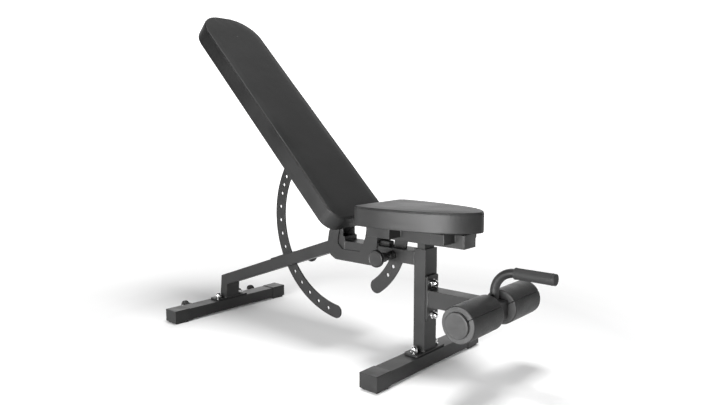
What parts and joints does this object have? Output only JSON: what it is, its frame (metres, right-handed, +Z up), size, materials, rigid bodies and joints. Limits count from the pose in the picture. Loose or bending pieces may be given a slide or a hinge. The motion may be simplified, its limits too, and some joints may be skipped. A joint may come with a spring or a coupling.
{
  "type": "adjustable weight bench",
  "caption": "Adjustable weight bench with a tapered seat, a long backrest set by a curved perforated plate, pull pins, foam leg rollers, a front handle and rear transport wheels.",
  "frame": {"origin": "on the floor, under the middle of the overall length and width", "axes": "+Z up, +X towards the foam leg rollers, +Y to the bench's left as a sitter faces the rollers"},
  "size_m": [1.426, 0.53, 1.1198],
  "materials": {
    "painted_steel": "matte black powder coat, fine grain",
    "upholstery": "matte black vinyl, faint grain",
    "rubber": "matte",
    "foam": "satin closed-cell foam sleeve",
    "black_plastic": "moulded, matte",
    "grey_plastic": "moulded, matte",
    "wheel_plastic": "moulded, matte",
    "chrome": "plated, bright",
    "wood": "plain plywood, hidden under the cover"
  },
  "bodies": {
    "root": {"front_foot_tube": "painted_steel", "rear_foot_tube": "painted_steel", "foot_caps": "black_plastic", "foot_pads": "rubber", "front_base_plate": "painted_steel", "rear_base_plate": "painted_steel", "base_bolts": "chrome", "flange_bolts": "chrome", "washers": "chrome", "domed_nuts": "chrome", "front_upright": "painted_steel", "horizontal_beam": "painted_steel", "sloped_beam": "painted_steel", "rear_stub": "painted_steel", "pivot_post": "painted_steel", "pivot_bolt": "chrome", "pivot_nut": "chrome", "pivot_washers": "chrome", "leg_flange": "painted_steel", "leg_tube": "painted_steel", "leg_tube_cap": "black_plastic", "roller_bar": "chrome", "handle_bar": "painted_steel", "handle_grip": "rubber", "wheel_brackets": "painted_steel", "wheel_axles": "chrome", "seat_stop_block": "rubber", "seat_pin_housing": "black_plastic", "seat_pin_spring": "chrome", "back_pin_housing": "black_plastic", "back_pin_spring": "chrome"},
    "backrest": {"back_tube": "painted_steel", "back_tube_caps": "black_plastic", "back_pivot_sleeve": "chrome", "back_cross_bars": "painted_steel", "back_screws": "chrome", "back_board": "wood", "back_pad": "upholstery", "back_arc": "painted_steel"},
    "seat": {"seat_hinge_plate_left": "painted_steel", "seat_hinge_plate_right": "painted_steel", "seat_tube": "painted_steel", "seat_tube_caps": "black_plastic", "seat_front_cross_member": "painted_steel", "seat_rear_cross_member": "painted_steel", "seat_member_plugs": "black_plastic", "seat_screws": "chrome", "seat_board": "wood", "seat_pad": "upholstery", "seat_arc": "painted_steel"},
    "seat_pin": {"seat_pin_plunger": "chrome", "seat_pin_knob": "black_plastic"},
    "back_pin": {"back_pin_plunger": "chrome", "back_pin_knob": "black_plastic"},
    "left_wheel": {"wheel_left": "wheel_plastic"},
    "right_wheel": {"wheel_right": "wheel_plastic"},
    "left_roller": {"roller_foam_left": "foam", "roller_core_left": "grey_plastic"},
    "right_roller": {"roller_foam_right": "foam", "roller_core_right": "grey_plastic"}
  },
  "joints": [
    {"name": "backrest_hinge", "type": "hinge", "parent": "root", "child": "backrest", "pos_m": [-0.012, 0, 0.403], "axis": [0, 1, 0], "range_deg": [-57, 45]},
    {"name": "seat_hinge", "type": "hinge", "parent": "root", "child": "seat", "pos_m": [-0.012, 0, 0.403], "axis": [0, -1, 0], "range_deg": [0, 21]},
    {"name": "seat_pin_slide", "type": "slide", "parent": "root", "child": "seat_pin", "axis": [0, 1, 0], "range_m": [0, 0.011]},
    {"name": "back_pin_slide", "type": "slide", "parent": "root", "child": "back_pin", "axis": [0, -1, 0], "range_m": [0, 0.011]},
    {"name": "wheel_left_spin", "type": "hinge", "parent": "root", "child": "left_wheel", "pos_m": [-0.693, 0.16, 0.034], "axis": [0, 1, 0], "continuous": true},
    {"name": "wheel_right_spin", "type": "hinge", "parent": "root", "child": "right_wheel", "pos_m": [-0.693, -0.16, 0.034], "axis": [0, 1, 0], "continuous": true},
    {"name": "roller_left_spin", "type": "hinge", "parent": "root", "child": "left_roller", "pos_m": [0.5375, 0.11, 0.215], "axis": [0, 1, 0], "continuous": true},
    {"name": "roller_right_spin", "type": "hinge", "parent": "root", "child": "right_roller", "pos_m": [0.5375, -0.11, 0.215], "axis": [0, 1, 0], "continuous": true}
  ]
}
